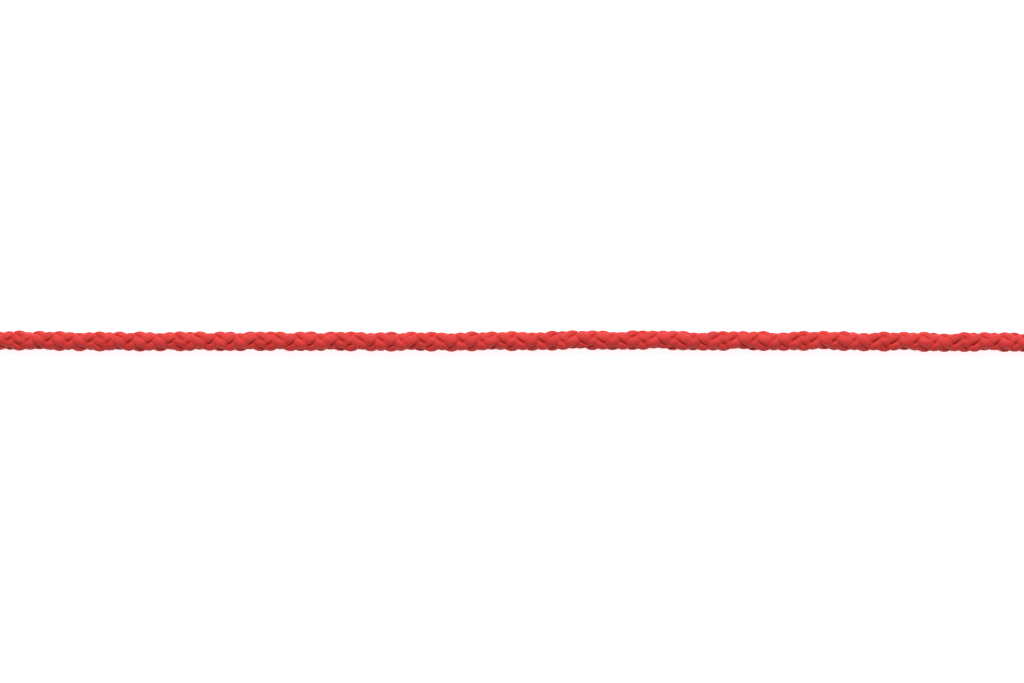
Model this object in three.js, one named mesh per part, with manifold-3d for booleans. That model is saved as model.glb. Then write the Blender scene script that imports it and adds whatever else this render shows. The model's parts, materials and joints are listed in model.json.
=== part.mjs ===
// Lead rope: a braided rope with a swivel bolt snap on one end, its spare length tied in a hank.
// Millimetres, +Z up. The snap and its clamp stand on Z = 0 with the rope running off along +X.
import * as THREE from 'three';
import { mergeVertices } from 'three/addons/utils/BufferGeometryUtils.js';
import Module from 'manifold-3d';

const wasm = await Module();
wasm.setup();

// Driving dimensions ---------------------------------------------------------------------------

const gap = 0.3; // left between pieces that touch
const runningGap = 0.3; // left round a piece that turns or slides

const ropeDiameter = 14;
const coreDiameter = 7;

const eyeInnerRadius = 10; // the swivel's ring
const eyeBarDiameter = 5.5;
const shankDiameter = 6;
const shankHeadDiameter = 9.4;
const shankHeadThickness = 2.4;
const washerThickness = 1;

const bossDiameter = 16; // the end of the casting that the shank turns in
const bossWall = 6;
const windowLength = 7.5; // the opening that the shank is riveted over in

const boltDiameter = 6;
const boltTravel = 12;
const boltLength = 22;
const barrelWall = 2.7;
const springLength = 22;
const springWire = 0.8;
const springTurns = 8;
const plugThickness = 2;
const knobStemDiameter = 3;
const knobDiameter = 7.5;
const knobHeight = 3;
const knobSetback = 4; // from the bolt's back end to the knob's stem

const hookBarDiameter = 8;
const hookInnerWidth = 20; // between the bolt's side and the back of the hook
const hookDepth = 25; // from the bolt's tip to the inside of the nose

const clampLength = 20;
const clampWall = 1.4;
const clampPinch = 0.6;
const loopLength = 25; // from the ring's bar to the clamp
const loopSlack = 1.25; // between the rope and the ring's bar
const shortEndLength = 10; // the rope's own end, past the clamp

const hankEndRadius = 42; // to the middle of the rope
const hankNeckRadius = 94.7;
const hankLayers = 2;
const tieWidth = 20;
const tieThickness = 1.6;
const whippingLength = 17;
const whippingThickness = 0.8;

// Sizes that follow ----------------------------------------------------------------------------

const ropeRadius = ropeDiameter / 2;
const barRadius = eyeBarDiameter / 2;
const eyeRadius = eyeInnerRadius + barRadius; // to the middle of the bar
const eyeOuterRadius = eyeInnerRadius + eyeBarDiameter;
const shankRadius = shankDiameter / 2;
const boltRadius = boltDiameter / 2;
const boreRadius = boltRadius + runningGap;
const barrelRadius = boreRadius + barrelWall;
const hookBarRadius = hookBarDiameter / 2;
const bossRadius = bossDiameter / 2;

// Along the snap, from the middle of the ring towards the nose.
const bossStart = eyeOuterRadius + 1.5;
const windowStart = bossStart + bossWall;
const windowEnd = windowStart + windowLength;
const barrelStart = windowEnd;
const plugEnd = barrelStart + plugThickness;
const boltBack = plugEnd + gap + springLength + gap;
const boltTip = boltBack + boltLength;
const barrelEnd = boltTip - boltTravel;
const hookTip = boltTip + gap;
const noseInside = hookTip + hookDepth - hookBarDiameter / 2;
const noseMiddle = noseInside + hookBarRadius;

// Across the snap: the bolt on one side of its line of pull, the back of the hook on the other.
const boltOffset = Math.max(bossRadius + boreRadius + gap, hookInnerWidth / 2 + 1);
const backOffset = -(hookInnerWidth - (boltOffset - boltRadius) + hookBarRadius);

// The snap leans from the ring down to its nose, and the rope from the ring down to the clamp.
const eyeHeight = eyeOuterRadius;
const snapTilt = Math.asin((eyeHeight - hookBarRadius) / noseMiddle);
const loopRadius = barRadius + loopSlack + ropeRadius;
const loopHeight = eyeHeight - 0.9;
const legOffset = ropeRadius + gap / 2;
const clampInnerHeight = ropeRadius + gap;
const clampOuterHeight = clampInnerHeight + clampWall;
const clampEnd = loopLength + clampLength;
const loopTilt = Math.asin((loopHeight - clampOuterHeight) / clampEnd);

// The clamp's far face is where the free rope starts, at X = 0 until everything is centred.
const barX = -clampEnd * Math.cos(loopTilt);
const exitHeight = loopHeight - clampEnd * Math.sin(loopTilt);

// The rope's route from the clamp to the hank, laid by hand: along, across, and lift off the floor.
const floorRoute = [
  [8, legOffset, 0.75],
  [18, legOffset - 0.15, 0.15],
  [32, legOffset - 1.05, 0],
  [50, 4, 0],
  [68, 1.9, 0],
  [85, 0.75, 0],
  [128, 0.15, 0],
  [171, -0.2, 0],
  [214, -0.1, 0],
  [257, 0, 0],
  [301, -0.1, 0],
  [344, -0.2, 0],
  [387, -0.25, 0],
  [430, 0.05, 0],
  [473, 0.6, 0],
  [516, 0.65, 0],
  [559, 0.3, 0],
  [602, 0.15, 0],
  [645, 0.15, 0],
  [689, -0.25, 0],
  [732, -0.6, 0],
  [775, -0.65, 0],
];
const hankStart = 800;

const tailSlant = 0.43; // the rope comes down aslant into the hank's hollow

// The rope's end, inside the hank's near loop: from the waist, across, and lift off the floor.
const tailReach = 28.8; // a thicker rope's end lies further in from the loop's side
const tailLine = tailReach - ropeDiameter;
const tailRoute = [
  [-65, tailLine - 0.9, 9.4],
  [-72, tailLine - 0.4, 6],
  [-79, tailLine, 3.3],
  [-88, tailLine, 1.6],
  [-98, tailLine, 1.3],
  [-106, tailLine, 1.3],
  [-115, tailLine, 1.3],
];

// Materials ------------------------------------------------------------------------------------

const finishes = {
  rope: { color: 0xd63c38, roughness: 0.75, metalness: 0 },
  core: { color: 0x9c2320, roughness: 0.85, metalness: 0 },
  brass: { color: 0xb8934a, roughness: 0.35, metalness: 1 },
  steel: { color: 0xa8aaad, roughness: 0.35, metalness: 1 },
  whipping: { color: 0x7d1f1e, roughness: 0.8, metalness: 0 },
  strap: { color: 0x26272b, roughness: 0.9, metalness: 0 },
};

// Helpers --------------------------------------------------------------------------------------

function finish(name) {
  const { color, roughness, metalness } = finishes[name];
  return new THREE.MeshStandardMaterial({ color, roughness, metalness });
}

function piece(name, geometry, finishName) {
  const mesh = new THREE.Mesh(geometry, finish(finishName));
  mesh.name = name;
  return mesh;
}

function solid(geometry) {
  const bare = geometry.clone();
  bare.deleteAttribute('normal');
  bare.deleteAttribute('uv');
  const merged = mergeVertices(bare, 1e-4);
  return new wasm.Manifold(new wasm.Mesh({
    numProp: 3,
    vertProperties: new Float32Array(merged.attributes.position.array),
    triVerts: new Uint32Array(merged.index.array),
  }));
}

function geometryOf(manifold) {
  const mesh = manifold.getMesh();
  const geometry = new THREE.BufferGeometry();
  geometry.setAttribute('position', new THREE.BufferAttribute(mesh.vertProperties, 3));
  geometry.setIndex(new THREE.BufferAttribute(mesh.triVerts, 1));
  geometry.computeVertexNormals();
  return geometry;
}

// A round bar along X from one place to another.
function rodAlongX(radius, from, to, y = 0, sides = 24) {
  const geometry = new THREE.CylinderGeometry(radius, radius, to - from, sides);
  geometry.rotateZ(-Math.PI / 2);
  geometry.translate((from + to) / 2, y, 0);
  return geometry;
}

function block(fromX, toX, fromY, toY, fromZ, toZ) {
  const geometry = new THREE.BoxGeometry(toX - fromX, toY - fromY, toZ - fromZ);
  geometry.translate((fromX + toX) / 2, (fromY + toY) / 2, (fromZ + toZ) / 2);
  return geometry;
}

function roundSection(radius, sides) {
  const section = new THREE.Shape();
  for (let i = 0; i < sides; i += 1) {
    const angle = (2 * Math.PI * (i + 0.5)) / sides;
    const point = [radius * Math.cos(angle), radius * Math.sin(angle)];
    if (i === 0) section.moveTo(...point);
    else section.lineTo(...point);
  }
  section.closePath();
  return section;
}

function ringSection(outerRadius, innerRadius, sides) {
  const section = roundSection(outerRadius, sides);
  section.holes.push(roundSection(innerRadius, sides));
  return section;
}

// An outline as plain corners, anticlockwise, with none of them twice.
function withoutRepeats(outline, segments = 10) {
  const corners = outline.getPoints(segments);
  const near = 1e-3;
  const kept = corners.filter((corner, i) => {
    const next = corners[(i + 1) % corners.length];
    return corner.distanceTo(next) > near;
  });
  if (THREE.ShapeUtils.isClockWise(kept)) kept.reverse();
  return new THREE.Shape(kept);
}

function along(section, points, steps) {
  const path = new THREE.CatmullRomCurve3(points);
  return new THREE.ExtrudeGeometry(section, { steps, bevelEnabled: false, extrudePath: path });
}

function arcPoints(x, y, z, radius, fromAngle, toAngle, count) {
  return Array.from({ length: count + 1 }, (_, i) => {
    const angle = fromAngle + ((toAngle - fromAngle) * i) / count;
    return new THREE.Vector3(x + radius * Math.cos(angle), y + radius * Math.sin(angle), z);
  });
}

// Swivel ---------------------------------------------------------------------------------------

function swivelEye() {
  const ring = new THREE.TorusGeometry(eyeRadius, barRadius, 12, 40);
  ring.rotateX(Math.PI / 2);
  const headStart = windowStart + gap + washerThickness + gap;
  const collar = rodAlongX(shankRadius + 1.2, eyeRadius, bossStart - runningGap);
  const shank = rodAlongX(shankRadius, eyeRadius, headStart + shankHeadThickness / 2);
  const head = rodAlongX(shankHeadDiameter / 2, headStart, headStart + shankHeadThickness);
  const parts = [ring, collar, shank, head].map(solid);
  return geometryOf(parts.reduce((whole, part) => whole.add(part)));
}

function swivelWasher() {
  const start = windowStart + gap;
  const outer = solid(rodAlongX(shankHeadDiameter / 2, start, start + washerThickness));
  const hole = rodAlongX(shankRadius + runningGap, start - 1, start + washerThickness + 1);
  return geometryOf(outer.subtract(solid(hole)));
}

// Snap -----------------------------------------------------------------------------------------

// The hook's bar is round, with a flat along the inside that a halter's ring bears on.
function hookSection() {
  const sides = 18;
  const flat = 0.85 * hookBarRadius;
  const section = new THREE.Shape();
  for (let i = 0; i < sides; i += 1) {
    const angle = (2 * Math.PI * (i + 0.5)) / sides;
    const x = hookBarRadius * Math.cos(angle);
    const y = Math.min(hookBarRadius * Math.sin(angle), flat);
    if (i === 0) section.moveTo(x, y);
    else section.lineTo(x, y);
  }
  section.closePath();
  return section;
}

function hookBar() {
  const noseRadius = (boltOffset - backOffset) / 2;
  const noseY = (boltOffset + backOffset) / 2;
  const noseX = noseMiddle - noseRadius;
  const points = [
    new THREE.Vector3(windowEnd - 1, -bossRadius / 2, 0),
    new THREE.Vector3(windowEnd + 8, -bossRadius / 2 - 2.2, 0),
    new THREE.Vector3((windowEnd + noseX) / 2 + 4, backOffset + 2.2, 0),
    new THREE.Vector3(noseX - 8, backOffset - 0.2, 0),
    ...arcPoints(noseX, noseY, 0, noseRadius, -Math.PI / 2, Math.PI / 2, 12),
    new THREE.Vector3(hookTip, boltOffset, 0),
  ];
  return along(hookSection(), points, 49);
}

function snapHook() {
  const bodyEnd = barrelStart + 24;
  const web = new THREE.Shape();
  web.moveTo(barrelStart, -bossRadius + 0.5);
  web.lineTo(bodyEnd - 6, backOffset + 3);
  web.lineTo(bodyEnd, backOffset + 5);
  web.quadraticCurveTo(bodyEnd + 1, 0, bodyEnd + 6, boltOffset - 1);
  web.lineTo(barrelStart + 1, boltOffset);
  web.lineTo(barrelStart, bossRadius - 0.5);
  web.closePath();
  const webThickness = 6;
  const plate = new THREE.ExtrudeGeometry(web, { depth: webThickness, bevelEnabled: false, curveSegments: 8 });
  plate.translate(0, 0, -webThickness / 2);

  const body = [
    rodAlongX(bossRadius, bossStart, windowEnd + 4),
    rodAlongX(barrelRadius, barrelStart, barrelEnd, boltOffset),
    hookBar(),
    plate,
  ].map(solid).reduce((whole, part) => whole.add(part));

  const windowHalf = shankHeadDiameter / 2 + runningGap;
  const slotHalf = knobStemDiameter / 2 + runningGap;
  const slotEnd = boltBack + knobSetback;
  const slotStart = slotEnd - boltTravel;
  const slotRounds = [slotStart, slotEnd].map((x) => {
    const round = new THREE.CylinderGeometry(slotHalf, slotHalf, 2 * barrelRadius, 16);
    round.translate(x, boltOffset + barrelRadius, 0);
    return round;
  });
  const cuts = [
    rodAlongX(shankRadius + runningGap, bossStart - 1, windowStart + 1),
    block(windowStart, windowEnd, -windowHalf, windowHalf, -bossDiameter, bossDiameter),
    rodAlongX(boreRadius, barrelStart - 1, barrelEnd + 1, boltOffset),
    block(slotStart, slotEnd, boltOffset, boltOffset + 2 * barrelRadius, -slotHalf, slotHalf),
    ...slotRounds,
  ].map(solid);
  return geometryOf(cuts.reduce((whole, cut) => whole.subtract(cut), body));
}

function knobDepth() {
  return boltRadius * 0.8; // how far the stem goes into the bolt
}

function bolt() {
  const rod = solid(rodAlongX(boltRadius, boltBack, boltTip, boltOffset));
  const holeRadius = knobStemDiameter / 2 + gap;
  const hole = new THREE.CylinderGeometry(holeRadius, holeRadius, 2 * boltRadius, 16);
  hole.translate(boltBack + knobSetback, boltOffset + 2 * boltRadius - knobDepth() - gap, 0);
  return geometryOf(rod.subtract(solid(hole)));
}

function boltKnob() {
  const foot = boltOffset + boltRadius - knobDepth();
  const seat = boltOffset + barrelRadius + runningGap;
  const stem = new THREE.CylinderGeometry(
    knobStemDiameter / 2, knobStemDiameter / 2, seat + knobHeight / 2 - foot, 16,
  );
  stem.translate(0, (foot + seat + knobHeight / 2) / 2, 0);
  const button = new THREE.CylinderGeometry(knobDiameter / 2 - 0.6, knobDiameter / 2, knobHeight, 24);
  button.translate(0, seat + knobHeight / 2, 0);
  const knob = solid(stem).add(solid(button));
  const geometry = geometryOf(knob);
  geometry.translate(boltBack + knobSetback, 0, 0);
  return geometry;
}

function boltSpring() {
  const radius = boreRadius - gap - springWire / 2;
  const start = plugEnd + gap + springWire / 2;
  const length = springLength - springWire;
  const stepsPerTurn = 12;
  const count = springTurns * stepsPerTurn;
  const points = Array.from({ length: count + 1 }, (_, i) => {
    const angle = (2 * Math.PI * i) / stepsPerTurn;
    return new THREE.Vector3(
      start + (length * i) / count,
      boltOffset + radius * Math.cos(angle),
      radius * Math.sin(angle),
    );
  });
  return along(roundSection(springWire / 2, 6), points, count);
}

function barrelPlug() {
  return rodAlongX(boreRadius - gap, barrelStart, plugEnd, boltOffset, 20);
}

// Rope end, turned through the ring and clamped ------------------------------------------------

function ropeEye() {
  const shortEnd = clampEnd + shortEndLength;
  const leg = (x, side, inwards = 0) => new THREE.Vector3(x, side * (legOffset + inwards), 0);
  const ease = (loopRadius - legOffset) / 2;
  const points = [
    leg(shortEnd, -1),
    leg(clampEnd, -1),
    leg(clampEnd - clampLength / 2, -1),
    leg(loopLength, -1),
    leg(loopLength / 2, -1, ease),
    ...arcPoints(0, 0, 0, loopRadius, -Math.PI / 2, -1.5 * Math.PI, 10),
    leg(loopLength / 2, 1, ease),
    leg(loopLength, 1),
    leg(clampEnd - clampLength / 2, 1),
    leg(clampEnd, 1),
  ];
  return along(roundSection(ropeRadius, 12), points, 44);
}

// A sleeve round both legs, drawn in a little between them.
function clampOutline(halfHeight) {
  const reach = legOffset;
  const outline = new THREE.Shape();
  const radius = halfHeight;
  outline.moveTo(-radius + clampPinch, 0);
  outline.quadraticCurveTo(-radius + clampPinch, reach * 0.5, -radius, reach);
  outline.absarc(0, reach, radius, Math.PI, 0, true);
  outline.quadraticCurveTo(radius - clampPinch, reach * 0.5, radius - clampPinch, 0);
  outline.quadraticCurveTo(radius - clampPinch, -reach * 0.5, radius, -reach);
  outline.absarc(0, -reach, radius, 0, -Math.PI, true);
  outline.quadraticCurveTo(-radius + clampPinch, -reach * 0.5, -radius + clampPinch, 0);
  return outline;
}

function ropeClamp() {
  const outline = withoutRepeats(clampOutline(clampOuterHeight));
  outline.holes.push(withoutRepeats(clampOutline(clampInnerHeight)));
  const path = new THREE.LineCurve3(
    new THREE.Vector3(loopLength, 0, 0),
    new THREE.Vector3(clampEnd, 0, 0),
  );
  return new THREE.ExtrudeGeometry(outline, { steps: 1, bevelEnabled: false, extrudePath: path });
}

// Free rope ------------------------------------------------------------------------------------

function floorPoints() {
  const exit = new THREE.Vector3(gap * Math.cos(loopTilt), legOffset, exitHeight - gap * Math.sin(loopTilt));
  const laid = floorRoute.map(([x, y, lift]) => new THREE.Vector3(x, y, ropeRadius + lift));
  const last = new THREE.Vector3(hankStart - gap, laid[laid.length - 1].y, ropeRadius);
  return [exit, ...laid, last];
}

function ropeSheath() {
  return along(ringSection(ropeRadius, coreDiameter / 2 + gap, 12), floorPoints(), 46);
}

function ropeCore() {
  return along(roundSection(coreDiameter / 2, 8), floorPoints(), 46);
}

// Hank -----------------------------------------------------------------------------------------

const waistOffset = ropeRadius + gap;
const neckMiddle = waistOffset + hankNeckRadius;
const endMiddle = Math.sqrt((hankEndRadius + hankNeckRadius) ** 2 - neckMiddle ** 2);
const joinAngle = Math.atan2(neckMiddle, endMiddle);
const waistX = hankStart + hankEndRadius + ropeRadius + endMiddle;
const hankLift = tieThickness + gap;
const hankHeight = hankLayers * ropeDiameter + hankLift;
const waistWidth = waistOffset + ropeRadius;

// Two round ends and a narrow waist, over the outside of the rope.
function hankOutline() {
  const endRadius = hankEndRadius + ropeRadius;
  const neckRadius = hankNeckRadius - ropeRadius;
  const back = Math.PI - joinAngle;
  const outline = new THREE.Shape();
  outline.absarc(endMiddle, 0, endRadius, -back, back, false);
  outline.absarc(0, neckMiddle, neckRadius, -joinAngle, joinAngle - Math.PI, true);
  outline.absarc(-endMiddle, 0, endRadius, joinAngle, 2 * Math.PI - joinAngle, false);
  outline.absarc(0, -neckMiddle, neckRadius, back, joinAngle, true);
  return outline;
}

// The open part of the near loop that the rope's end lies in.
function tailHollow() {
  const radius = hankEndRadius - ropeRadius;
  const nearSide = tailRoute[2][1] - ropeRadius - whippingThickness - 2 * gap;
  const openEnd = tailRoute[0][0] + tailSlant * ropeRadius + gap;
  const hollow = new THREE.Path();
  const neckRadius = hankNeckRadius + ropeRadius;
  const neckX = -neckRadius * Math.cos(joinAngle);
  const neckStart = Math.asin(openEnd / neckRadius);
  hollow.moveTo(openEnd, nearSide);
  hollow.lineTo(openEnd, neckMiddle - neckRadius * Math.cos(neckStart));
  hollow.lineTo(neckX, neckMiddle - neckRadius * Math.sin(joinAngle));
  hollow.absarc(-endMiddle, 0, radius, joinAngle, Math.PI - Math.asin(nearSide / radius), false);
  hollow.closePath();
  return hollow;
}

function ropeHank() {
  const outline = withoutRepeats(hankOutline(), 20);
  outline.holes.push(withoutRepeats(tailHollow(), 20));
  const settings = { depth: hankHeight, bevelEnabled: false };
  const whole = solid(new THREE.ExtrudeGeometry(outline, settings));
  const half = tieWidth / 2 + gap;
  const groove = block(-half, half, -neckMiddle / 2, neckMiddle / 2, -1, hankLift);
  const hank = whole.subtract(solid(groove));
  const geometry = geometryOf(hank);
  geometry.translate(waistX, 0, 0);
  return geometry;
}

function roundedBox(halfWidth, low, high, radius) {
  const path = new THREE.Shape();
  path.moveTo(-halfWidth + radius, low);
  path.lineTo(halfWidth - radius, low);
  path.absarc(halfWidth - radius, low + radius, radius, -Math.PI / 2, 0, false);
  path.absarc(halfWidth - radius, high - radius, radius, 0, Math.PI / 2, false);
  path.absarc(-halfWidth + radius, high - radius, radius, Math.PI / 2, Math.PI, false);
  path.absarc(-halfWidth + radius, low + radius, radius, Math.PI, 1.5 * Math.PI, false);
  return withoutRepeats(path, 4);
}

function hankTie() {
  const innerHalf = waistWidth + waistSlack() + gap;
  const outerHalf = innerHalf + tieThickness;
  const top = hankHeight + gap;
  const innerCorner = 1;
  const band = roundedBox(outerHalf, 0, top + tieThickness, tieThickness + innerCorner);
  band.holes.push(roundedBox(innerHalf, tieThickness, top, innerCorner));
  const geometry = new THREE.ExtrudeGeometry(band, { depth: tieWidth, bevelEnabled: false });
  geometry.rotateX(Math.PI / 2);
  geometry.rotateZ(Math.PI / 2);
  geometry.translate(waistX - tieWidth / 2, 0, 0);
  return geometry;
}

// How far the neck's curve spreads within half the tie's width.
function waistSlack() {
  const radius = hankNeckRadius - ropeRadius;
  const half = tieWidth / 2 + gap;
  return radius - Math.sqrt(radius ** 2 - half ** 2);
}

function tailPoints() {
  return tailRoute.map(([x, y, lift]) => new THREE.Vector3(waistX + x, y, ropeRadius + lift));
}

function ropeTail() {
  return along(roundSection(ropeRadius, 12), tailPoints(), 14);
}

function tailWhipping() {
  const points = tailPoints();
  const end = points[points.length - 1];
  const start = end.clone().setX(end.x + whippingLength);
  const inner = ropeRadius + gap;
  const path = new THREE.LineCurve3(start, end);
  const sleeve = { steps: 1, bevelEnabled: false, extrudePath: path };
  return new THREE.ExtrudeGeometry(ringSection(inner + whippingThickness, inner, 16), sleeve);
}

// Assembly -------------------------------------------------------------------------------------

const snap = new THREE.Group();
snap.rotation.y = snapTilt;
snap.add(
  piece('swivel_eye', swivelEye(), 'brass'),
  piece('swivel_washer', swivelWasher(), 'steel'),
  piece('snap_hook', snapHook(), 'brass'),
  piece('snap_bolt', bolt(), 'brass'),
  piece('bolt_knob', boltKnob(), 'brass'),
  piece('bolt_spring', boltSpring(), 'steel'),
  piece('barrel_plug', barrelPlug(), 'brass'),
);
const snapEnd = new THREE.Group();
snapEnd.position.set(barX - eyeRadius, 0, eyeHeight);
snapEnd.rotation.z = Math.PI;
snapEnd.add(snap);

const loop = new THREE.Group();
loop.position.set(barX, 0, loopHeight);
loop.rotation.y = loopTilt;
loop.add(
  piece('rope_eye', ropeEye(), 'rope'),
  piece('rope_clamp', ropeClamp(), 'brass'),
);

const leadRope = new THREE.Group();
leadRope.add(
  snapEnd,
  loop,
  piece('rope_sheath', ropeSheath(), 'rope'),
  piece('rope_core', ropeCore(), 'core'),
  piece('rope_hank', ropeHank(), 'rope'),
  piece('rope_tail', ropeTail(), 'rope'),
  piece('tail_whipping', tailWhipping(), 'whipping'),
  piece('hank_tie', hankTie(), 'strap'),
);

// The origin is under the middle of the snap, its clamp and the rope's clamped end.
leadRope.updateMatrixWorld(true);
const fixed = new THREE.Box3().expandByObject(snapEnd, true).expandByObject(loop, true);
const middle = fixed.getCenter(new THREE.Vector3());
leadRope.position.set(-middle.x, -middle.y, -fixed.min.z);

export default leadRope;
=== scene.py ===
import json
import math

import bmesh
import bpy
import numpy as np
from mathutils import Matrix, Vector


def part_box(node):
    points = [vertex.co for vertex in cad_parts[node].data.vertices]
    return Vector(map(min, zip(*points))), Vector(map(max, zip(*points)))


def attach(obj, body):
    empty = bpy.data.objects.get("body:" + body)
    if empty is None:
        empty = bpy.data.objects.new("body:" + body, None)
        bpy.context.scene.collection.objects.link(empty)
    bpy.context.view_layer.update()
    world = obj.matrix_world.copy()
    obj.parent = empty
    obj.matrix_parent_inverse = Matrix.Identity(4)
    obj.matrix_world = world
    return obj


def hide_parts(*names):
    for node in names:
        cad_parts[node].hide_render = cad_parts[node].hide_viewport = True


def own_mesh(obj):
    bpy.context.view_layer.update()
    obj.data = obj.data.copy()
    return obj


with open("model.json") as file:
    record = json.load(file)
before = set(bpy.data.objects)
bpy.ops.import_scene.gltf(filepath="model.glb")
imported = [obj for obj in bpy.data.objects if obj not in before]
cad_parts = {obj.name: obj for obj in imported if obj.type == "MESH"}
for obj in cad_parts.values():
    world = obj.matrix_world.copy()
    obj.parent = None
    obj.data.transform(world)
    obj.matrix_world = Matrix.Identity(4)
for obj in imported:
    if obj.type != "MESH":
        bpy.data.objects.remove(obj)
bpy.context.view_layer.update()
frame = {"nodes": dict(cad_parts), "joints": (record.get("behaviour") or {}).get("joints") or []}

joints = {joint["name"]: joint for joint in frame["joints"]}

# The hank's box places the rope: X = 0 at the clamp's far face, Z = 0 on the floor.
hankLow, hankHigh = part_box("rope_hank")
hankStart = 0.800
ropeOrigin = Vector((hankLow.x - hankStart, (hankLow.y + hankHigh.y) / 2, 0))

# The snap has a frame of its own, from the middle of its ring towards its nose.
towardsNose = Vector(joints["snap_swivel"]["axis"]).normalized()
acrossSnap = Vector((0, -1, 0))
snapFrame = Matrix((towardsNose, acrossSnap, towardsNose.cross(acrossSnap))).transposed().to_4x4()
snapFrame.translation = Vector(joints["snap_swivel"]["pos_m"])

# So has the rope's eye, from the middle of its bend towards the clamp.
eyeSlope = 0.13149
eyeDrop = 0.0009  # below the middle of the ring
eyeFrame = Matrix.Rotation(eyeSlope, 4, "Y")
eyeFrame.translation = Vector(joints["eye_swing"]["pos_m"]) - Vector((0, 0, eyeDrop))

rope = {
    "diameter": 0.014,
    "pitch": 0.0542,  # one full turn of a strand
    "strandsEachWay": 4,
    "middleRadius": 0.00385,  # of a strand's own line, halfway between over and under
    "weave": 0.0010,  # how far it rises and dives from there
    "crownWidth": 0.0066,
    "crownHeight": 0.0043,
    "dipWidth": 0.0062,
    "dipHeight": 0.0036,
    "tightSize": 0.78,  # one strand each way is pulled tighter than the rest
    "tightSink": 0.0007,
    "turnPerMetre": 2.95,  # radians, the whole braid's slow turn
    "firstTurn": -0.43,
    "stepsPerPitch": 34,
    "sides": 9,
    "squareness": 1.0,
    "coreRadius": 0.0048,
}
ropeRadius = rope["diameter"] / 2


def addObject(name, mesh):
    made = bpy.data.objects.new(name, mesh)
    bpy.context.scene.collection.objects.link(made)
    return made


def meshFrom(bm, name, sharpOver=None):
    mesh = bpy.data.meshes.new(name)
    bm.to_mesh(mesh)
    bm.free()
    mesh.polygons.foreach_set("use_smooth", [True] * len(mesh.polygons))
    if sharpOver is not None:
        mesh.set_sharp_from_angle(angle=math.radians(sharpOver))
    return mesh


def ease(t):
    t = np.clip(t, 0, 1)
    return (1 - np.cos(math.pi * t)) / 2


# One smooth line through the points, and its distance along, at an even spacing.
def smoothLine(points, spacing):
    points = np.array([tuple(p) for p in points], float)
    ends = np.vstack([2 * points[0] - points[1], points, 2 * points[-1] - points[-2]])
    pieces = []
    for a, b, c, d in zip(ends[:-3], ends[1:-2], ends[2:-1], ends[3:]):
        k0 = 0.0
        k1 = k0 + max(np.linalg.norm(b - a), 1e-6) ** 0.5
        k2 = k1 + max(np.linalg.norm(c - b), 1e-6) ** 0.5
        k3 = k2 + max(np.linalg.norm(d - c), 1e-6) ** 0.5
        count = max(4, int(np.linalg.norm(c - b) / 0.0008))
        t = np.linspace(k1, k2, count, endpoint=False)[:, None]
        ab = ((k1 - t) * a + (t - k0) * b) / (k1 - k0)
        bc = ((k2 - t) * b + (t - k1) * c) / (k2 - k1)
        cd = ((k3 - t) * c + (t - k2) * d) / (k3 - k2)
        abc = ((k2 - t) * ab + (t - k0) * bc) / (k2 - k0)
        bcd = ((k3 - t) * bc + (t - k1) * cd) / (k3 - k1)
        pieces.append(((k2 - t) * abc + (t - k1) * bcd) / (k2 - k1))
    dense = np.vstack([*pieces, points[-1:]])
    along = np.concatenate([[0], np.cumsum(np.linalg.norm(np.diff(dense, axis=0), axis=1))])
    even = np.linspace(0, along[-1], max(2, int(round(along[-1] / spacing))) + 1)
    return np.stack([np.interp(even, along, dense[:, k]) for k in range(3)], axis=1), even


# Directions across a line, carried along it without twisting.
def carriedFrames(line):
    forward = np.gradient(line, axis=0)
    forward /= np.linalg.norm(forward, axis=1)[:, None]
    up = np.array([0.0, 0.0, 1.0])
    ups = []
    for tangent in forward:
        up = up - tangent * np.dot(up, tangent)
        up /= np.linalg.norm(up)
        ups.append(up)
    ups = np.array(ups)
    return ups, np.cross(forward, ups)


# Rolls a flat grid into a closed tube round a line, with a width and a height at each step.
def rollTube(bm, centres, acrossWay, outWay, width, height, sides, squareness):
    steps = len(centres) - 1
    grid = bmesh.ops.create_grid(bm, x_segments=steps, y_segments=sides, size=0.5, calc_uvs=True)
    made = grid["verts"]
    flat = np.array([v.co[:2] for v in made])
    flat = (flat - flat.min(axis=0)) / np.ptp(flat, axis=0)
    step = np.rint(flat[:, 0] * steps).astype(int)
    closer = 0.06 * np.sin(2 * math.pi * flat[:, 1])  # corners lie closer on the side that shows
    turn = 2 * math.pi * (flat[:, 1] + closer) - math.pi / 2
    wide = np.sign(np.cos(turn)) * np.abs(np.cos(turn)) ** squareness * width[step] / 2
    high = np.sign(np.sin(turn)) * np.abs(np.sin(turn)) ** squareness * height[step] / 2
    placed = centres[step] + acrossWay[step] * wide[:, None] + outWay[step] * high[:, None]
    for v, place in zip(made, placed):
        v.co = place
    bmesh.ops.remove_doubles(bm, verts=made, dist=1e-6)
    bmesh.ops.holes_fill(bm, edges=[e for e in bm.edges if e.is_boundary], sides=0)
    return [v for v in made if v.is_valid]


# A map in metres along each strand, and in turns around it.
def stretchMap(mesh, length):
    layer = mesh.uv_layers[0].data
    values = np.empty(len(layer) * 2, np.float32)
    layer.foreach_get("uv", values)
    values[0::2] *= length
    layer.foreach_set("uv", values)


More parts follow.
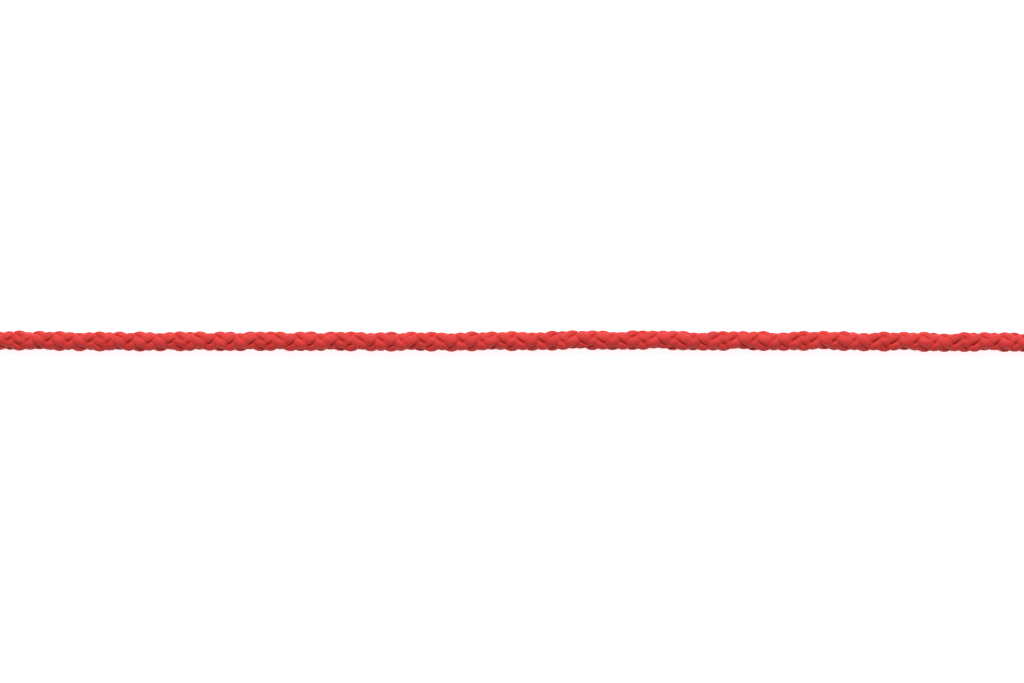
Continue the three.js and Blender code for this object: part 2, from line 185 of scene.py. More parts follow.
# Four strands each way, each over one and under one.
def makeBraid(name, line, distance, squeeze=1.0):
    ups, sideways = carriedFrames(line)
    squeeze = np.ones(len(line)) * squeeze
    bm = bmesh.new()
    bm.loops.layers.uv.new("alongStrand")
    toneLayer = bm.verts.layers.float.new("strandTone")
    wholeTurn = rope["turnPerMetre"] * distance + rope["firstTurn"]
    for way in (1, -1):
        for k in range(rope["strandsEachWay"]):
            size = rope["tightSize"] if k == 0 else 1.0
            sink = rope["tightSink"] if k == 0 else 0.0
            lift = way * np.cos(8 * math.pi * distance / rope["pitch"])
            crown = 0.5 + 0.5 * lift
            angle = way * 2 * math.pi * distance / rope["pitch"] + k * math.pi / 2 + wholeTurn
            out = ups * np.cos(angle)[:, None] + sideways * np.sin(angle)[:, None]
            wander = 0.00008 * np.sin(distance * 61 + k * 2.1 + way)
            radius = (rope["middleRadius"] + rope["weave"] * lift - sink * crown + wander) * squeeze
            centres = line + out * radius[:, None]
            strandWay = np.gradient(centres, axis=0)
            strandWay /= np.linalg.norm(strandWay, axis=1)[:, None]
            outWay = out - strandWay * np.sum(out * strandWay, axis=1)[:, None]
            outWay /= np.linalg.norm(outWay, axis=1)[:, None]
            width = rope["dipWidth"] + (rope["crownWidth"] - rope["dipWidth"]) * crown
            height = rope["dipHeight"] + (rope["crownHeight"] - rope["dipHeight"]) * crown
            strand = rollTube(
                bm, centres, np.cross(strandWay, outWay), outWay,
                width * size * squeeze, height * size * squeeze, rope["sides"], rope["squareness"],
            )
            tone = (k * 0.37 + (0.19 if way > 0 else 0.63)) % 1.0
            for v in strand:
                v[toneLayer] = tone
    bmesh.ops.recalc_face_normals(bm, faces=bm.faces)
    mesh = meshFrom(bm, name)
    stretchMap(mesh, distance[-1] - distance[0])
    return addObject(name, mesh)


view = {
    "start": 0.085,  # from the clamp's far face to the left edge
    "width": 0.690,
    "lens": 100,
    "sensor": 36,
    "aside": 0.00025,  # how far above the middle the rope lies
}

cameraData = bpy.data.cameras.new("camera")
cameraData.lens = view["lens"]
cameraData.sensor_width = view["sensor"]
cameraData.clip_start = 0.01
cameraData.clip_end = 50
camera = addObject("camera", cameraData)
camera.location = ropeOrigin + Vector((
    view["start"] + view["width"] / 2,
    -view["aside"],
    ropeRadius + view["width"] * view["lens"] / view["sensor"],
))
bpy.context.scene.camera = camera
print("camera placed")

# Along, across and up, from inside the clamp to the hank.
floorRoute = [
    (-0.0099, 0.00715, 0.0100),
    (0.0, 0.00715, 0.0087),
    (0.008, 0.00715, 0.00775),
    (0.018, 0.0070, 0.00715),
    (0.032, 0.0061, 0.0070),
    (0.050, 0.0040, 0.0070),
    (0.068, 0.0019, 0.0070),
    (0.085, 0.00075, 0.0070),
    (0.128, 0.00015, 0.0070),
    (0.171, -0.0002, 0.0070),
    (0.214, -0.0001, 0.0070),
    (0.257, 0.0, 0.0070),
    (0.301, -0.0001, 0.0070),
    (0.344, -0.0002, 0.0070),
    (0.387, -0.00025, 0.0070),
    (0.430, 0.00005, 0.0070),
    (0.473, 0.0006, 0.0070),
    (0.516, 0.00065, 0.0070),
    (0.559, 0.0003, 0.0070),
    (0.602, 0.00015, 0.0070),
    (0.645, 0.00015, 0.0070),
    (0.689, -0.00025, 0.0070),
    (0.732, -0.0006, 0.0070),
    (0.775, -0.00065, 0.0070),
]

hank = {
    "waist": 0.94001,  # from the clamp's far face
    "waistOffset": 0.0073,
    "endRadius": 0.042,
    "neckRadius": 0.0947,
    "low": 0.0070,  # the rope's middle on the floor, and lying on another lap
    "high": 0.0210,
    "tieLift": 0.0019,
    "liftRun": 0.045,  # the length in which it comes down from the tie
    "overStart": 0.069,  # where the near lap goes over the stretch that comes in
    "overEnd": 0.173,
    "overRun": 0.062,
    "climbStart": 0.235,  # where it climbs on to the first lap
    "climbStop": 0.010,
    "pointsPerArc": 24,
}

# From the waist: the last stretch in, and the rope's end in the near loop.
stretchIn = [
    (-0.140, -0.0007, 0.0070),
    (-0.118, -0.0012, 0.0070),
    (-0.095, -0.0026, 0.0070),
    (-0.070, -0.0045, 0.0071),
    (-0.045, -0.0062, 0.0075),
    (-0.020, -0.0071, 0.0085),
]
ropeEnd = [
    (-0.020, 0.0076, 0.0229),
    (-0.040, 0.0102, 0.0216),
    (-0.052, 0.0123, 0.0193),
    (-0.065, 0.0139, 0.0164),
    (-0.072, 0.0144, 0.0130),
    (-0.079, 0.0148, 0.0103),
    (-0.088, 0.0148, 0.0086),
    (-0.098, 0.0148, 0.0083),
    (-0.106, 0.0148, 0.0083),
    (-0.1145, 0.0148, 0.0083),
]


# One lap round an end of the hank, waist to waist; heightAt gives its height from
# the distance along.
def hankLap(end, heightAt):
    endRadius = hank["endRadius"]
    neckRadius = hank["neckRadius"]
    neck = hank["waistOffset"] + neckRadius
    middle = math.sqrt((endRadius + neckRadius) ** 2 - neck**2)
    join = math.atan2(neck, middle)
    count = hank["pointsPerArc"]
    flat = []
    for angle in np.linspace(math.pi / 2, join, count // 2, endpoint=False):
        flat.append((neckRadius * math.cos(angle), -neck + neckRadius * math.sin(angle)))
    for angle in np.linspace(join - math.pi, math.pi - join, count * 2, endpoint=False):
        flat.append((middle + endRadius * math.cos(angle), endRadius * math.sin(angle)))
    for angle in np.linspace(-join, -math.pi / 2, count // 2):
        flat.append((neckRadius * math.cos(angle), neck + neckRadius * math.sin(angle)))
    flat = np.array(flat) * end  # the near lap is the far one turned half round
    along = np.concatenate([[0], np.cumsum(np.linalg.norm(np.diff(flat, axis=0), axis=1))])
    heights = heightAt(along, along[-1])
    return [(x, y, z) for (x, y), z in zip(flat, heights)]


def lowLap(along, whole):
    waist = hank["low"] + hank["tieLift"]
    ends = ease(np.minimum(along, whole - along) / hank["liftRun"])
    return waist + (hank["low"] - waist) * ends


def highLap(along, whole):
    return lowLap(along, whole) + hank["high"] - hank["low"]


# On the floor, over the stretch that comes in, down, and up over the first lap at the waist.
def nearLap(along, whole):
    climb = hank["high"] - hank["low"]
    start = hank["low"] + hank["tieLift"] * (1 - ease(along / hank["liftRun"]))
    up = ease((along - hank["overStart"]) / hank["overRun"])
    down = ease((along - hank["overEnd"]) / hank["overRun"])
    overIn = climb * (up - down)
    climbRun = whole - hank["climbStop"] - hank["climbStart"]
    last = (climb + hank["tieLift"]) * ease((along - hank["climbStart"]) / climbRun)
    return start + overIn + last


def fromWaist(points):
    return [(hank["waist"] + x, y, z) for x, y, z in points]


wholeRoute = [
    *floorRoute,
    *fromWaist(stretchIn),
    *fromWaist(hankLap(1, lowLap)),
    *fromWaist(hankLap(-1, nearLap))[1:],
    *fromWaist(hankLap(1, highLap))[1:],
    *fromWaist(ropeEnd),
]
ropeLine, ropeDistance = smoothLine(wholeRoute, rope["pitch"] / rope["stepsPerPitch"])
ropeLine = ropeLine + np.array(ropeOrigin)
ropeLength = float(ropeDistance[-1])

whipping = {
    "length": 0.017,
    "turns": 16,
    "twine": 0.00052,  # radius
    "pull": 0.93,  # how far it draws the rope in
    "pullRun": 0.006,
    "inset": 0.0012,  # from the rope's end to the first turn
    "shorter": 0.0020,
    "tuck": 0.0013,  # how deep the twine's own ends go under
}
clampHold = {"start": 0.006, "run": 0.010, "squeeze": 0.03}

pulledIn = ropeDistance - ropeLength + whipping["length"] + whipping["pullRun"]
underWhipping = ease(pulledIn / whipping["pullRun"])
inClamp = 1 - ease((ropeDistance - clampHold["start"]) / clampHold["run"])
leadRope = makeBraid(
    "lead_rope", ropeLine, ropeDistance,
    1 - (1 - whipping["pull"]) * underWhipping - clampHold["squeeze"] * inClamp,
)


def makeCore(name, line, radius):
    ups, sideways = carriedFrames(line)
    bm = bmesh.new()
    bm.loops.layers.uv.new("alongCore")
    across = np.full(len(line), 2 * radius)
    rollTube(bm, line, sideways, ups, across, across, 8, 1.0)
    bmesh.ops.recalc_face_normals(bm, faces=bm.faces)
    return addObject(name, meshFrom(bm, name))


coreLine, coreDistance = smoothLine(wholeRoute, 0.006)
ropeCore = makeCore("rope_core_yarn", coreLine + np.array(ropeOrigin), rope["coreRadius"])
print("free rope laid,", round(ropeLength, 3), "m")


# A profile of (along, radius) turned round the X axis.
def turned(name, profile, place, steps=32, sharpOver=40):
    bm = bmesh.new()
    corners = [bm.verts.new((along, radius, 0)) for along, radius in profile]
    edges = [bm.edges.new(pair) for pair in zip(corners, corners[1:])]
    bmesh.ops.spin(
        bm, geom=corners + edges, cent=(0, 0, 0), axis=(1, 0, 0),
        angle=2 * math.pi, steps=steps, use_merge=True,
    )
    bmesh.ops.remove_doubles(bm, verts=bm.verts, dist=1e-6)
    bmesh.ops.recalc_face_normals(bm, faces=bm.faces)
    bmesh.ops.transform(bm, matrix=place, verts=bm.verts)
    return addObject(name, meshFrom(bm, name, sharpOver))


# A round wire along a line of points.
def wire(name, points, radius, sides=8):
    line = np.array([tuple(p) for p in points], float)
    ups, sideways = carriedFrames(line)
    bm = bmesh.new()
    bm.loops.layers.uv.new("alongWire")
    across = np.full(len(line), 2 * radius)
    rollTube(bm, line, sideways, ups, across, across, sides, 1.0)
    bmesh.ops.recalc_face_normals(bm, faces=bm.faces)
    mesh = meshFrom(bm, name)
    stretchMap(mesh, float(np.sum(np.linalg.norm(np.diff(line, axis=0), axis=1))))
    return addObject(name, mesh)


# The twine is wound straight round the rope's last stretch, which lies along X.
endPoint = Vector(ropeLine[-1])
twineRadius = ropeRadius * whipping["pull"] + whipping["twine"] * 0.9
twinePoints = []
for t in np.linspace(0, 1, whipping["turns"] * 24 + 1):
    angle = 2 * math.pi * whipping["turns"] * t
    tucked = twineRadius - whipping["tuck"] * (1 - ease(min(t, 1 - t) * whipping["turns"] / 0.3))
    twinePoints.append(endPoint + Vector((
        whipping["inset"] + (whipping["length"] - whipping["shorter"]) * t,
        tucked * math.cos(angle),
        tucked * math.sin(angle),
    )))
tailWhipping = wire("tail_whipping_twine", twinePoints, whipping["twine"])

# The yarn at each cut end is melted into a low dome.
sealProfile = [
    (-0.0024, 0.0), (-0.0024, 0.0052), (-0.0019, 0.0061), (-0.0011, 0.0065), (-0.0003, 0.0065),
    (0.0003, 0.0062), (0.0008, 0.0054), (0.0011, 0.0040), (0.0011, 0.0020), (0.0010, 0.0),
]


def meltedEnd(name, place):
    seal = turned(name, sealProfile, place, steps=40, sharpOver=80)
    middle = place.translation
    for v in seal.data.vertices:  # a little uneven, as melted yarn sets
        arm = v.co - middle
        angle = math.atan2(arm.z, arm.y)
        v.co = middle + arm * (1 + 0.03 * math.sin(3 * angle + 0.7) + 0.02 * math.sin(7 * angle))
    return seal


tailSeal = meltedEnd(
    "tail_melted_end", Matrix.Translation(endPoint) @ Matrix.Rotation(math.pi, 4, "Z")
)

tie = {
    "width": 0.020,
    "thickness": 0.0014,
    "halfAcross": 0.0143,  # of the four laps inside it
    "halfUp": 0.0140,
    "middle": 0.0159,
    "corner": 0.0070,
    "clear": 0.0010,  # from the rope to the middle of the webbing
    "overlap": 0.026,
    "start": 0.012,  # below the middle of the +Y side
    "lapRun": 0.010,
    "step": 0.0012,
    "slack": 0.0004,
}


# A band round the waist's four laps, with its outer end lapped over its inner one.
def makeTie():
    corner = tie["corner"] + tie["clear"]
    flatAcross = tie["halfAcross"] + tie["slack"] - tie["corner"]
    flatUp = tie["halfUp"] - tie["corner"]
    outline = []
    for quarter, (y, z) in enumerate([(1, 1), (-1, 1), (-1, -1), (1, -1)]):
        for angle in np.linspace(0, math.pi / 2, 9):
            angle += quarter * math.pi / 2
            outline.append((
                0.0,
                y * flatAcross + corner * math.cos(angle),
                z * flatUp + corner * math.sin(angle),
            ))
    outline.append(outline[0])
    loop, distance = smoothLine(outline, tie["step"])
    around = distance[-1]
    total = np.arange(0, around + tie["overlap"], tie["step"])
    place = (total + around - tie["start"]) % around
    band = np.stack([np.interp(place, distance, loop[:, k]) for k in range(3)], axis=1)
    ups = np.gradient(band, axis=0)
    ups /= np.linalg.norm(ups, axis=1)[:, None]
    out = np.cross(ups, np.array([1.0, 0.0, 0.0]))
    out *= np.sign(np.sum(out * band, axis=1))[:, None]
    lapped = ease((total - around + tie["lapRun"]) / tie["lapRun"])
    band = band + out * (lapped * (tie["thickness"] + 0.0001))[:, None]
    band += np.array(ropeOrigin) + np.array([hank["waist"], 0, tie["middle"]])
    sideways = np.tile([1.0, 0.0, 0.0], (len(band), 1))
    bm = bmesh.new()
    bm.loops.layers.uv.new("alongBand")
    ones = np.ones(len(band))
    width = tie["width"] * ones
    rollTube(bm, band, sideways, out, width, tie["thickness"] * ones, 20, 0.35)
    bmesh.ops.recalc_face_normals(bm, faces=bm.faces)
    mesh = meshFrom(bm, "hank_tie_band")
    stretchMap(mesh, float(total[-1]))
    return addObject("hank_tie_band", mesh)


hankTie = makeTie()
print("whipping and tie made")

eye = {
    "leg": 0.00715,
    "bendRadius": 0.011,
    "toClamp": 0.025,
    "shortEnd": 0.0545,
    "shortLegAt": (0.045, 0.035),
    "longLegAt": (0.031, 0.0365),
    "clampOuter": 0.0087,
}


# The rope's own end, turned through the ring and back beside itself.
def makeEye():
    leg = eye["leg"]
    half = (eye["bendRadius"] + leg) / 2
    points = [(at, -leg, 0) for at in (eye["shortEnd"], *eye["shortLegAt"], eye["toClamp"])]
    points += [(eye["toClamp"] / 2, -half, 0)]
    for angle in np.linspace(-math.pi / 2, -1.5 * math.pi, 11):
        points.append((eye["bendRadius"] * math.cos(angle), eye["bendRadius"] * math.sin(angle), 0))
    points += [(eye["toClamp"] / 2, half, 0)]
    points += [(at, leg, 0) for at in (eye["toClamp"], *eye["longLegAt"])]
    line, distance = smoothLine([eyeFrame @ Vector(p) for p in points], rope["pitch"] / 36)
    return makeBraid("rope_eye_braid", line, distance, 0.985 - 0.12 * (1 - ease(distance / 0.006)))


ropeEye = makeEye()
eyeSeal = meltedEnd(
    "eye_melted_end", eyeFrame @ Matrix.Translation((eye["shortEnd"], -eye["leg"], 0))
)
print("eye turned")


# A merged copy of a CAD node, with its corners worn round.
def wornCopy(name, node, voxel, rounds):
    bm = bmesh.new()
    bm.from_mesh(frame["nodes"][node].data)
    bmesh.ops.remove_doubles(bm, verts=bm.verts, dist=1e-6)
    made = addObject(name, meshFrom(bm, name))
    remesh = made.modifiers.new("remesh", "REMESH")
    remesh.mode = "VOXEL"
    remesh.voxel_size = voxel
    remesh.use_smooth_shade = True
    smooth = made.modifiers.new("smooth", "SMOOTH")
    smooth.factor = 0.5
    smooth.iterations = rounds
    bpy.context.view_layer.update()
    finished = made.evaluated_get(bpy.context.evaluated_depsgraph_get())
    final = bpy.data.meshes.new_from_object(finished)
    made.modifiers.clear()
    made.data = final
    final.name = name
    final.polygons.foreach_set("use_smooth", [True] * len(final.polygons))
    return made


snap = {
    "voxel": 0.00045,
    "smoothRounds": 4,
    "boltLine": 0.0116,  # across, from the line of pull
    "boltRadius": 0.0030,
    "boltBack": 0.0551,
    "boltTip": 0.0771,
    "plugStart": 0.0305,
    "knobAt": 0.0591,
    "knobTop": 0.0209,
    "knobRadius": 0.00375,
    "springStart": 0.0328,
    "springEnd": 0.0548,
    "springRadius": 0.00205,
    "springWire": 0.0004,
    "springTurns": 8,
}

crimps = {
    "at": [0.0295, 0.035, 0.0405],
    "halfWidth": 0.0015,
    "depth": 0.00045,
    "voxel": 0.0004,
    "smoothRounds": 3,
}

snapCasting = wornCopy("snap_hook_casting", "snap_hook", snap["voxel"], snap["smoothRounds"])
swivelCasting = wornCopy("swivel_eye_casting", "swivel_eye", snap["voxel"], snap["smoothRounds"])
ropeClamp = wornCopy("rope_clamp_sleeve", "rope_clamp", crimps["voxel"], crimps["smoothRounds"])


# Three grooves pressed into the sleeve's outside.
def pressCrimps(sleeve):
    toEye = eyeFrame.inverted()
    turnBack = eyeFrame.to_3x3()
    for v in sleeve.data.vertices:
        p = toEye @ v.co
        beside = p.y - max(-eye["leg"], min(eye["leg"], p.y))
        if math.hypot(beside, p.z) < eye["clampOuter"] - 0.0010:
            continue
        nearest = min(abs(p.x - at) for at in crimps["at"])
        if nearest < crimps["halfWidth"]:
            pressed = 0.5 + 0.5 * math.cos(math.pi * nearest / crimps["halfWidth"])
            depth = crimps["depth"] * pressed
            inwards = Vector((0, beside, p.z)).normalized()
            v.co -= turnBack @ (inwards * depth)


pressCrimps(ropeClamp)


def onBoltLine(along):
    return snapFrame @ Matrix.Translation((along, snap["boltLine"], 0))


r = snap["boltRadius"]
boltLength = snap["boltTip"] - snap["boltBack"]
boltPin = turned("snap_bolt_pin", [
    (0, 0), (0, r - 0.0005), (0.0005, r), (boltLength - 0.0016, r), (boltLength - 0.0008, r * 0.88),
    (boltLength - 0.0002, r * 0.62), (boltLength, r * 0.3), (boltLength, 0),
], onBoltLine(snap["boltBack"]))

# The knob's stem goes in across the bolt, and its top is dished and rimmed.
knobPlace = (
    snapFrame @ Matrix.Translation((snap["knobAt"], 0, 0)) @ Matrix.Rotation(math.pi / 2, 4, "Z")
)
k = snap["knobRadius"]
top = snap["knobTop"]
boltKnob = turned("snap_knob", [
    (0.0122, 0), (0.0122, 0.0019), (top - 0.0034, 0.0019), (top - 0.0030, 0.0023),
    (top - 0.0029, k - 0.0005), (top - 0.0025, k - 0.0001), (top - 0.0021, k), (top - 0.0009, k),
    (top - 0.0004, k - 0.0002), (top, k - 0.0009), (top - 0.0001, k - 0.0014),
    (top - 0.0004, k - 0.0022), (top - 0.0005, 0),
], knobPlace, steps=40)

barrelPlug = turned("barrel_plug_disc", [
    (0, 0), (0, 0.0024), (0.0004, 0.0029), (0.0016, 0.0029), (0.0020, 0.0024), (0.0020, 0),
], onBoltLine(snap["plugStart"]))

springPoints = []
for t in np.linspace(0, 1, snap["springTurns"] * 20 + 1):
    closed = 0.06 * math.sin(2 * math.pi * t)  # the end turns lie closer
    angle = 2 * math.pi * snap["springTurns"] * t
    along = snap["springStart"] + snap["springWire"]
    along += (snap["springEnd"] - snap["springStart"] - 2 * snap["springWire"]) * (t - closed)
    springPoints.append(snapFrame @ Vector((
        along,
        snap["boltLine"] + snap["springRadius"] * math.cos(angle),
        snap["springRadius"] * math.sin(angle),
    )))
boltSpring = wire("snap_spring", springPoints, snap["springWire"])

washerPlace = snapFrame @ Matrix.Translation((0.0233, 0, 0))
swivelWasher = turned("swivel_washer_ring", [
    (0.00015, 0.0032), (0.0, 0.00335), (0.0, 0.0045), (0.00015, 0.0047), (0.00085, 0.0047),
    (0.0010, 0.0045), (0.0010, 0.00335), (0.00085, 0.0032), (0.00015, 0.0032),
], washerPlace, steps=36)
print("snap made")


# Materials: a node, with its settings and its unlinked inputs.
def addNode(material, kind, inputs=None, **settings):
    node = material.node_tree.nodes.new(kind)
    for name, value in settings.items():
        setattr(node, name, value)
    for name, value in (inputs or {}).items():
        node.inputs[name].default_value = value
    return node


def newMaterial(name, **sockets):
    material = bpy.data.materials.new(name)
    material.use_nodes = True
    shader = material.node_tree.nodes["Principled BSDF"]
    for socket, value in sockets.items():
        shader.inputs[socket.replace("_", " ")].default_value = value
    return material, shader


def link(material, fromNode, output, toNode, socket):
    material.node_tree.links.new(fromNode.outputs[output], toNode.inputs[socket])


# Fine lines along the yarn, from the map in metres along and turns around.
def yarnMaterial(name, deep, bright, lines, roughness, sheen, bumpHeight):
    material, shader = newMaterial(
        name, Roughness=roughness, Specular_IOR_Level=0.18, Sheen_Weight=sheen, Sheen_Roughness=0.45
    )
    shader.inputs["Sheen Tint"].default_value = (*[0.4 + 0.6 * c ** 0.5 for c in bright], 1)
    coords = addNode(material, "ShaderNodeTexCoord")
    fibre = addNode(material, "ShaderNodeMapping")
    fibre.inputs["Scale"].default_value = (150, lines, 1)
    link(material, coords, "UV", fibre, "Vector")
    streakInputs = {"Scale": 1.0, "Detail": 2.0, "Roughness": 0.6}
    streaks = addNode(material, "ShaderNodeTexNoise", streakInputs)
    link(material, fibre, "Vector", streaks, "Vector")
    patches = addNode(material, "ShaderNodeTexNoise", {"Scale": 130.0, "Detail": 3.0})
    link(material, coords, "Object", patches, "Vector")
    tone = addNode(material, "ShaderNodeAttribute", attribute_name="strandTone")
    mixed = addNode(material, "ShaderNodeMath", operation="MULTIPLY_ADD")
    link(material, tone, "Fac", mixed, 0)
    mixed.inputs[1].default_value = 0.35
    link(material, streaks, "Fac", mixed, 2)
    both = addNode(material, "ShaderNodeMath", operation="MULTIPLY_ADD", use_clamp=True)
    link(material, patches, "Fac", both, 0)
    both.inputs[1].default_value = 0.6
    shift = addNode(material, "ShaderNodeMath", {1: 0.45}, operation="SUBTRACT")
    link(material, mixed, "Value", shift, 0)
    link(material, shift, "Value", both, 2)
    colour = addNode(material, "ShaderNodeMix", data_type="RGBA")
    colour.inputs["A"].default_value = (*deep, 1)
    colour.inputs["B"].default_value = (*bright, 1)
    link(material, both, "Value", colour, "Factor")
    material.node_tree.links.new(colour.outputs["Result"], shader.inputs["Base Color"])
    bump = addNode(material, "ShaderNodeBump", {"Strength": 0.7, "Distance": bumpHeight})
    link(material, streaks, "Fac", bump, "Height")
    link(material, bump, "Normal", shader, "Normal")
    return material


redYarn = yarnMaterial(
    "redYarn", (0.52, 0.027, 0.024), (0.70, 0.046, 0.041), 34, 0.58, 0.1, 0.00022
)
coreYarn = yarnMaterial(
    "dyedCoreYarn", (0.44, 0.020, 0.018), (0.56, 0.030, 0.027), 30, 0.7, 0.1, 0.0002
)
waxedTwine = yarnMaterial(
    "waxedTwine", (0.09, 0.006, 0.006), (0.17, 0.012, 0.011), 9, 0.45, 0.1, 0.0001
)


def meltedMaterial():
    material, shader = newMaterial("meltedYarn", Roughness=0.34, Specular_IOR_Level=0.5)
    coords = addNode(material, "ShaderNodeTexCoord")
    lumpInputs = {"Scale": 700.0, "Detail": 4.0, "Roughness": 0.55}
    lumps = addNode(material, "ShaderNodeTexNoise", lumpInputs)
    link(material, coords, "Object", lumps, "Vector")
    colour = addNode(material, "ShaderNodeMix", data_type="RGBA")
    colour.inputs["A"].default_value = (0.16, 0.008, 0.007, 1)
    colour.inputs["B"].default_value = (0.42, 0.020, 0.017, 1)
    link(material, lumps, "Fac", colour, "Factor")
    material.node_tree.links.new(colour.outputs["Result"], shader.inputs["Base Color"])
    bump = addNode(material, "ShaderNodeBump", {"Strength": 0.6, "Distance": 0.0003})
    link(material, lumps, "Fac", bump, "Height")
    link(material, bump, "Normal", shader, "Normal")
    return material


meltedYarn = meltedMaterial()


# Metal with worn patches: bright where handled, duller between, and a fine pitted or turned skin.
def metalMaterial(
    name, bright, dull, smoothest, roughest, grainScale, bumpHeight, stretch=(1, 1, 1)
):
    material, shader = newMaterial(name, Metallic=1.0)
    coords = addNode(material, "ShaderNodeTexCoord")
    wear = addNode(material, "ShaderNodeTexNoise", {"Scale": 90.0, "Detail": 5.0, "Roughness": 0.6})
    link(material, coords, "Object", wear, "Vector")
    place = addNode(material, "ShaderNodeMapping")
    place.inputs["Scale"].default_value = stretch
    link(material, coords, "Object", place, "Vector")
    grainInputs = {"Scale": grainScale, "Detail": 4.0, "Roughness": 0.65}
    grain = addNode(material, "ShaderNodeTexNoise", grainInputs)
    link(material, place, "Vector", grain, "Vector")
    patches = addNode(material, "ShaderNodeMapRange", {"From Min": 0.38, "From Max": 0.62})
    link(material, wear, "Fac", patches, "Value")
    colour = addNode(material, "ShaderNodeMix", data_type="RGBA")
    colour.inputs["A"].default_value = (*bright, 1)
    colour.inputs["B"].default_value = (*dull, 1)
    link(material, patches, "Result", colour, "Factor")
    material.node_tree.links.new(colour.outputs["Result"], shader.inputs["Base Color"])
    rough = addNode(material, "ShaderNodeMapRange", {"To Min": smoothest, "To Max": roughest})
    link(material, patches, "Result", rough, "Value")
    link(material, rough, "Result", shader, "Roughness")
    bump = addNode(material, "ShaderNodeBump", {"Strength": 0.5, "Distance": bumpHeight})
    link(material, grain, "Fac", bump, "Height")
    link(material, bump, "Normal", shader, "Normal")
    return material


castBrass = metalMaterial(
    "castBrass", (0.76, 0.55, 0.24), (0.58, 0.40, 0.17), 0.24, 0.42, 900.0, 0.00012
)
turnedBrass = metalMaterial(
    "turnedBrass", (0.80, 0.60, 0.28), (0.66, 0.47, 0.20), 0.16, 0.30, 1400.0, 0.00004
)
pressedBrass = metalMaterial(
    "pressedBrass", (0.74, 0.54, 0.24), (0.60, 0.42, 0.18), 0.24, 0.38, 1200.0, 0.00006,
    stretch=(0.15, 1, 1),
)
springSteel = metalMaterial(
    "springSteel", (0.62, 0.63, 0.65), (0.46, 0.47, 0.49), 0.22, 0.38, 2000.0, 0.00003
)


# Ribs across the band and fine warp threads along it.
def webbingMaterial():
    material, shader = newMaterial(
        "tieWebbing", Roughness=0.8, Specular_IOR_Level=0.3, Sheen_Weight=0.25
    )
    coords = addNode(material, "ShaderNodeTexCoord")
    place = addNode(material, "ShaderNodeMapping")
    place.inputs["Scale"].default_value = (1.0, 0.043, 1)  # both ways in metres
    link(material, coords, "UV", place, "Vector")
    ribInputs = {"Scale": 210.0, "Distortion": 0.6, "Detail": 1.0}
    ribs = addNode(material, "ShaderNodeTexWave", ribInputs, bands_direction="X")
    warpInputs = {"Scale": 330.0, "Distortion": 0.4, "Detail": 1.0}
    warp = addNode(material, "ShaderNodeTexWave", warpInputs, bands_direction="Y")
    weave = addNode(material, "ShaderNodeMath", operation="MULTIPLY")
    for pattern, socket in ((ribs, 0), (warp, 1)):
        link(material, place, "Vector", pattern, "Vector")
        link(material, pattern, "Fac", weave, socket)
    colour = addNode(material, "ShaderNodeMix", data_type="RGBA")
    colour.inputs["A"].default_value = (0.010, 0.0105, 0.012, 1)
    colour.inputs["B"].default_value = (0.038, 0.040, 0.046, 1)
    link(material, weave, "Value", colour, "Factor")
    material.node_tree.links.new(colour.outputs["Result"], shader.inputs["Base Color"])
    bump = addNode(material, "ShaderNodeBump", {"Strength": 0.8, "Distance": 0.0003})
    link(material, weave, "Value", bump, "Height")
    link(material, bump, "Normal", shader, "Normal")
    return material


tieWebbing = webbingMaterial()


def finishPiece(made, material, body, slot, *nodes):
    made.data.materials.clear()
    made.data.materials.append(material)
    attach(made, body)
    if nodes:
        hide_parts(*nodes)


finishPiece(leadRope, redYarn, "rope", "red_rope", "rope_sheath", "rope_hank", "rope_tail")
finishPiece(ropeCore, coreYarn, "rope", "rope_core", "rope_core")
finishPiece(ropeEye, redYarn, "rope", "red_rope", "rope_eye")
finishPiece(eyeSeal, meltedYarn, "rope", "red_rope")
finishPiece(tailSeal, meltedYarn, "rope", "red_rope")
finishPiece(tailWhipping, waxedTwine, "rope", "whipping_twine", "tail_whipping")
finishPiece(hankTie, tieWebbing, "rope", "tie_webbing", "hank_tie")
finishPiece(ropeClamp, pressedBrass, "rope", "crimped_brass", "rope_clamp")
finishPiece(swivelCasting, castBrass, "swivel", "cast_brass", "swivel_eye")
finishPiece(swivelWasher, springSteel, "swivel", "spring_steel", "swivel_washer")
finishPiece(snapCasting, castBrass, "snap", "cast_brass", "snap_hook")
finishPiece(barrelPlug, turnedBrass, "snap", "turned_brass", "barrel_plug")
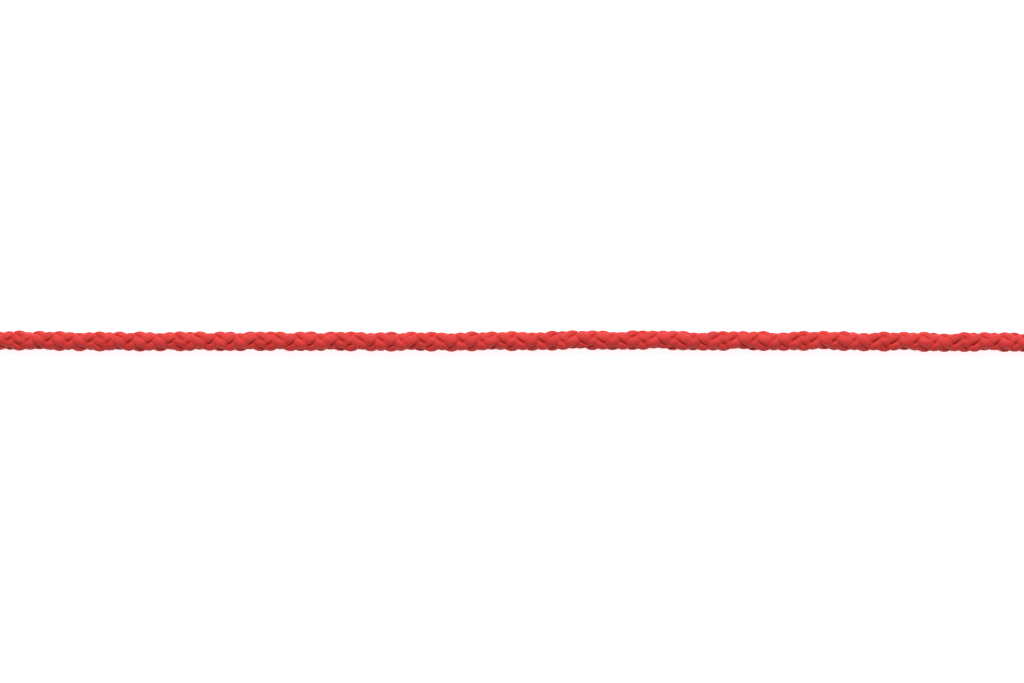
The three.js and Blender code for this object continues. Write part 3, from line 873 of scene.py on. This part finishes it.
finishPiece(boltSpring, springSteel, "snap", "spring_steel", "bolt_spring")
finishPiece(boltPin, turnedBrass, "bolt", "turned_brass", "snap_bolt")
finishPiece(boltKnob, turnedBrass, "bolt", "turned_brass", "bolt_knob")
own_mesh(boltSpring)
print("finishes given")

studio = {
    "floorSize": 12.0,
    "floorTone": 0.78,
    "floorGlow": 0.80,
    "world": 0.28,
    "keyEnergy": 73,
    "keyLength": 2.2,
    "keySize": 0.9,
    "keyAcross": 1.5,  # from over the middle of the straight stretch
    "keyUp": 2.15,
}


def makeFloor():
    bm = bmesh.new()
    bmesh.ops.create_grid(bm, x_segments=2, y_segments=2, size=studio["floorSize"] / 2)
    bmesh.ops.translate(bm, vec=(0.5, 0, -0.0001), verts=bm.verts)
    floor = addObject("floor", meshFrom(bm, "floor"))
    material, shader = newMaterial("paleFloor", Roughness=0.9, Specular_IOR_Level=0.1)
    shader.inputs["Base Color"].default_value = (*[studio["floorTone"]] * 3, 1)
    shader.inputs["Emission Color"].default_value = (1, 1, 1, 1)
    shader.inputs["Emission Strength"].default_value = studio["floorGlow"]
    floor.data.materials.append(material)


def addLight(name, energy, size, place, target):
    data = bpy.data.lights.new(name, "AREA")
    data.energy = energy
    data.shape = "RECTANGLE"
    data.size, data.size_y = size
    lamp = addObject(name, data)
    lamp.location = place
    lamp.rotation_euler = (Vector(target) - Vector(place)).to_track_quat("-Z", "Y").to_euler()


makeFloor()
middle = ropeOrigin + Vector((view["start"] + view["width"] / 2, 0, 0))
keyPlace = middle + Vector((0, studio["keyAcross"], studio["keyUp"]))
addLight("key", studio["keyEnergy"], (studio["keyLength"], studio["keySize"]), keyPlace, middle)

world = bpy.data.worlds.new("studio")
world.use_nodes = True
background = world.node_tree.nodes["Background"]
background.inputs["Color"].default_value = (1, 1, 1, 1)
background.inputs["Strength"].default_value = studio["world"]
bpy.context.scene.world = world
bpy.context.scene.view_settings.view_transform = "Standard"
bpy.context.scene.view_settings.look = "None"

print("studio set")
